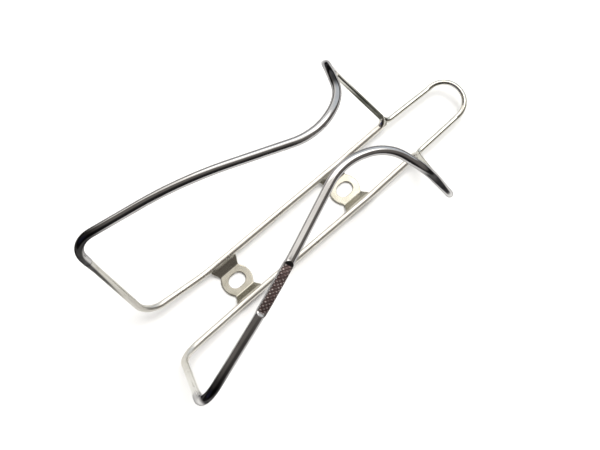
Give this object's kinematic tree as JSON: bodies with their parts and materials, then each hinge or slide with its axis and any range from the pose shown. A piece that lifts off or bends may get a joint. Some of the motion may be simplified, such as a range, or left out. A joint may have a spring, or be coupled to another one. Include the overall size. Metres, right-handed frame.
{
  "type": "water bottle cage",
  "caption": "Tubular wire bottle cage with two rails, wrap-round arms, a top loop and slotted brackets for two bolts.",
  "frame": {"origin": "midway between the two mounting holes, on the brackets' backs", "axes": "+Z away from the bicycle tube towards the bottle, +Y along the cage towards the top loop, +X to the right seen from the bottle's side"},
  "size_m": [0.0778, 0.1784, 0.0804],
  "materials": {
    "rail_wire": "polished stainless wire, slightly satin along the drawn direction",
    "arm_tube": "mirror-polished stainless tube, faint straw and violet heat tint at the bends",
    "loop_wire": "polished stainless wire",
    "bracket_sheet": "satin pressed sheet with fine brushing across the cage",
    "braze": "smooth silver-brazed fillet, slightly darker than the wire",
    "weld": "dark, lightly rippled weld bead"
  },
  "bodies": {
    "root": {"right_rail": "rail_wire", "left_rail": "rail_wire", "right_arm": "arm_tube", "left_arm": "arm_tube", "top_loop": "loop_wire", "upper_bracket": "bracket_sheet", "lower_bracket": "bracket_sheet", "right_fork_braze": "braze", "left_fork_braze": "braze", "right_foot_braze": "braze", "left_foot_braze": "braze", "right_tip_braze": "braze", "left_tip_braze": "braze", "upper_right_weld": "weld", "upper_left_weld": "weld", "lower_right_weld": "weld", "lower_left_weld": "weld"}
  },
  "joints": []
}
